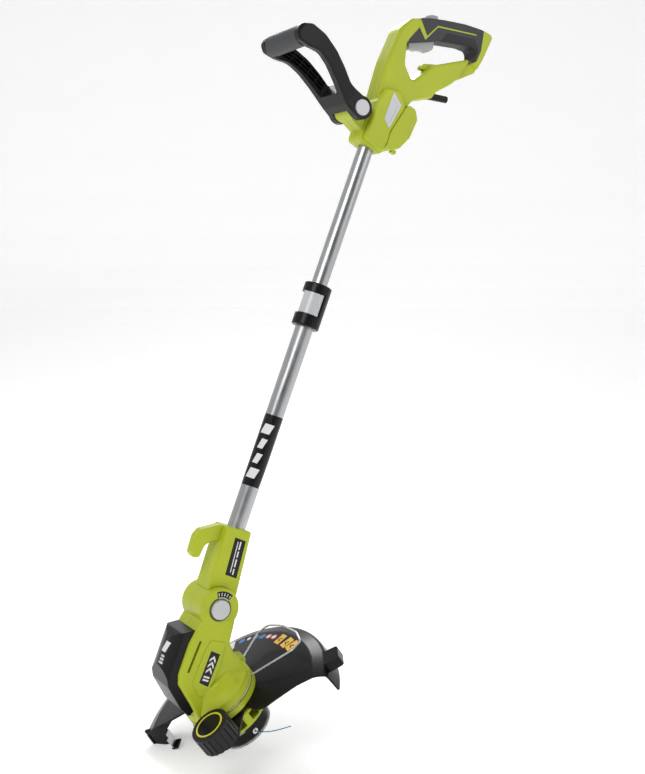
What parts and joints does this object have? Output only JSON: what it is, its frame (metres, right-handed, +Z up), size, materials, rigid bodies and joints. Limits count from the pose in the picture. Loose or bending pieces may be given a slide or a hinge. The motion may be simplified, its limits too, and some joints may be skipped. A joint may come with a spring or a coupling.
{
  "type": "string trimmer",
  "caption": "Corded string trimmer: telescopic aluminium shaft, loop front handle, tilting motor head with line spool, debris guard and edging wheel.",
  "frame": {"origin": "centre of the rear grip, where the operator's right hand holds the tool", "axes": "+Z up with the shaft leaning back 22 degrees as it is held, +X towards the operator, +Y to the tool's right-hand side"},
  "size_m": [0.5984, 0.2829, 1.1595],
  "materials": {
    "green_plastic": "satin moulded",
    "black_plastic": "satin moulded",
    "black_rubber": "soft matt",
    "grey_plastic": "satin",
    "silver_plastic": "silver satin paint",
    "yellow_plastic": "gloss",
    "pale_plastic": "natural nylon",
    "tube_aluminium": "drawn, anodised",
    "bare_steel": "plated",
    "capacitor_case": "gloss",
    "line_nylon": "blue nylon"
  },
  "bodies": {
    "handle": {"rear_handle_left": "green_plastic", "rear_handle_right": "green_plastic", "soft_grip": "black_rubber", "grip_pad": "black_rubber", "side_plates": "silver_plastic", "rear_cover": "green_plastic", "capacitor": "capacitor_case", "micro_switch": "black_plastic", "cord_sleeve": "black_plastic", "cord_clamp": "black_plastic", "handle_screws": "bare_steel", "handle_spindle": "black_plastic", "trigger_pin": "bare_steel", "trigger_spring": "bare_steel", "upper_tube": "tube_aluminium", "guide_bush": "black_plastic"},
    "front_loop": {"front_handle": "black_plastic", "front_grip": "black_rubber"},
    "left_button": {"handle_button_left": "silver_plastic"},
    "right_button": {"handle_button_right": "silver_plastic"},
    "trigger": {"trigger": "grey_plastic"},
    "lock_button": {"lock_off_button": "grey_plastic"},
    "lower_shaft": {"lower_tube": "tube_aluminium", "clamp_collar": "black_plastic", "clamp_pin": "bare_steel", "twist_ring": "black_plastic"},
    "clamp_lever": {"clamp_lever": "silver_plastic"},
    "neck": {"neck_left": "green_plastic", "neck_right": "green_plastic", "neck_screws": "bare_steel"},
    "head": {"motor_housing_left": "green_plastic", "motor_housing_right": "green_plastic", "pivot_axle": "black_plastic", "housing_screws": "bare_steel", "pivot_spring": "bare_steel", "bumper": "black_plastic", "motor_field": "bare_steel", "bearings": "bare_steel", "brushes": "black_plastic", "base_ring": "green_plastic", "debris_guard": "black_plastic", "guard_screws": "bare_steel", "line_cutter": "bare_steel", "wheel_bracket": "black_plastic"},
    "pivot_button": {"pivot_button": "silver_plastic"},
    "rotor": {"motor_shaft": "bare_steel", "armature": "bare_steel", "cooling_fan": "black_plastic", "spool_carrier": "green_plastic", "spool_cap": "black_plastic", "eyelet": "bare_steel", "bump_spring": "bare_steel", "cutting_line": "line_nylon"},
    "reel": {"reel": "black_plastic", "wound_line": "line_nylon"},
    "bump_knob": {"bump_knob": "pale_plastic"},
    "wire_guard": {"wire_guard": "bare_steel"},
    "edging_wheel": {"edging_wheel": "black_rubber", "wheel_ring": "yellow_plastic", "wheel_cap": "black_plastic"}
  },
  "joints": [
    {"name": "front_handle_tilt", "type": "hinge", "parent": "handle", "child": "front_loop", "pos_m": [-0.18784, 0, -0.13658], "axis": [0, 1, 0], "range_deg": [-20, 60]},
    {"name": "left_button_press", "type": "slide", "parent": "front_loop", "child": "left_button", "axis": [0, 1, 0], "range_m": [0, 0.0024], "stiffness_N_per_m": 800, "springref_m": -0.002, "deforming": ["pivot_spring"]},
    {"name": "right_button_press", "type": "slide", "parent": "front_loop", "child": "right_button", "axis": [0, -1, 0], "range_m": [0, 0.0024], "stiffness_N_per_m": 800, "springref_m": -0.002},
    {"name": "trigger_pull", "type": "hinge", "parent": "handle", "child": "trigger", "pos_m": [-0.06612, 0, -0.00348], "axis": [0, 1, 0], "range_deg": [-9, 0], "stiffness_Nm_per_rad": 1.2, "springref_deg": 8.59},
    {"name": "lock_off_press", "type": "slide", "parent": "handle", "child": "lock_button", "axis": [0.0484, 0, -0.9988], "range_m": [0, 0.003], "stiffness_N_per_m": 400, "springref_m": -0.003},
    {"name": "shaft_telescope", "type": "slide", "parent": "handle", "child": "lower_shaft", "axis": [0.3746, 0, 0.9272], "range_m": [-0.13, 0.18]},
    {"name": "clamp_lever_open", "type": "hinge", "parent": "lower_shaft", "child": "clamp_lever", "pos_m": [-0.25573, -0.0184, -0.43487], "axis": [0.3746, 0, 0.9272], "range_deg": [0, 100]},
    {"name": "neck_twist", "type": "hinge", "parent": "lower_shaft", "child": "neck", "pos_m": [-0.4108, 0, -0.81657], "axis": [0.3746, 0, 0.9272], "range_deg": [0, 180]},
    {"name": "head_tilt", "type": "hinge", "parent": "neck", "child": "head", "pos_m": [-0.43328, 0, -0.8722], "axis": [0, 1, 0], "range_deg": [-20, 20]},
    {"name": "pivot_button_press", "type": "slide", "parent": "head", "child": "pivot_button", "axis": [0, 1, 0], "range_m": [0, 0.0026], "stiffness_N_per_m": 800, "springref_m": -0.002},
    {"name": "spool_spin", "type": "hinge", "parent": "head", "child": "rotor", "pos_m": [-0.40255, 0, -1.03529], "axis": [-0.5878, 0, 0.809], "continuous": true},
    {"name": "reel_feed", "type": "hinge", "parent": "rotor", "child": "reel", "pos_m": [-0.3861, 0, -1.05794], "axis": [-0.5878, 0, 0.809], "continuous": true},
    {"name": "bump_press", "type": "slide", "parent": "rotor", "child": "bump_knob", "axis": [-0.5878, 0, 0.809], "range_m": [0, 0.004], "stiffness_N_per_m": 600, "springref_m": -0.004, "deforming": ["bump_spring"]},
    {"name": "wire_guard_swing", "type": "hinge", "parent": "head", "child": "wire_guard", "pos_m": [-0.42019, 0, -1.01101], "axis": [-0.5878, 0, 0.809], "range_deg": [-60, 60]},
    {"name": "edging_wheel_roll", "type": "hinge", "parent": "head", "child": "edging_wheel", "pos_m": [-0.46394, -0.076, -1.03415], "axis": [-0.5878, 0, 0.809], "continuous": true}
  ]
}
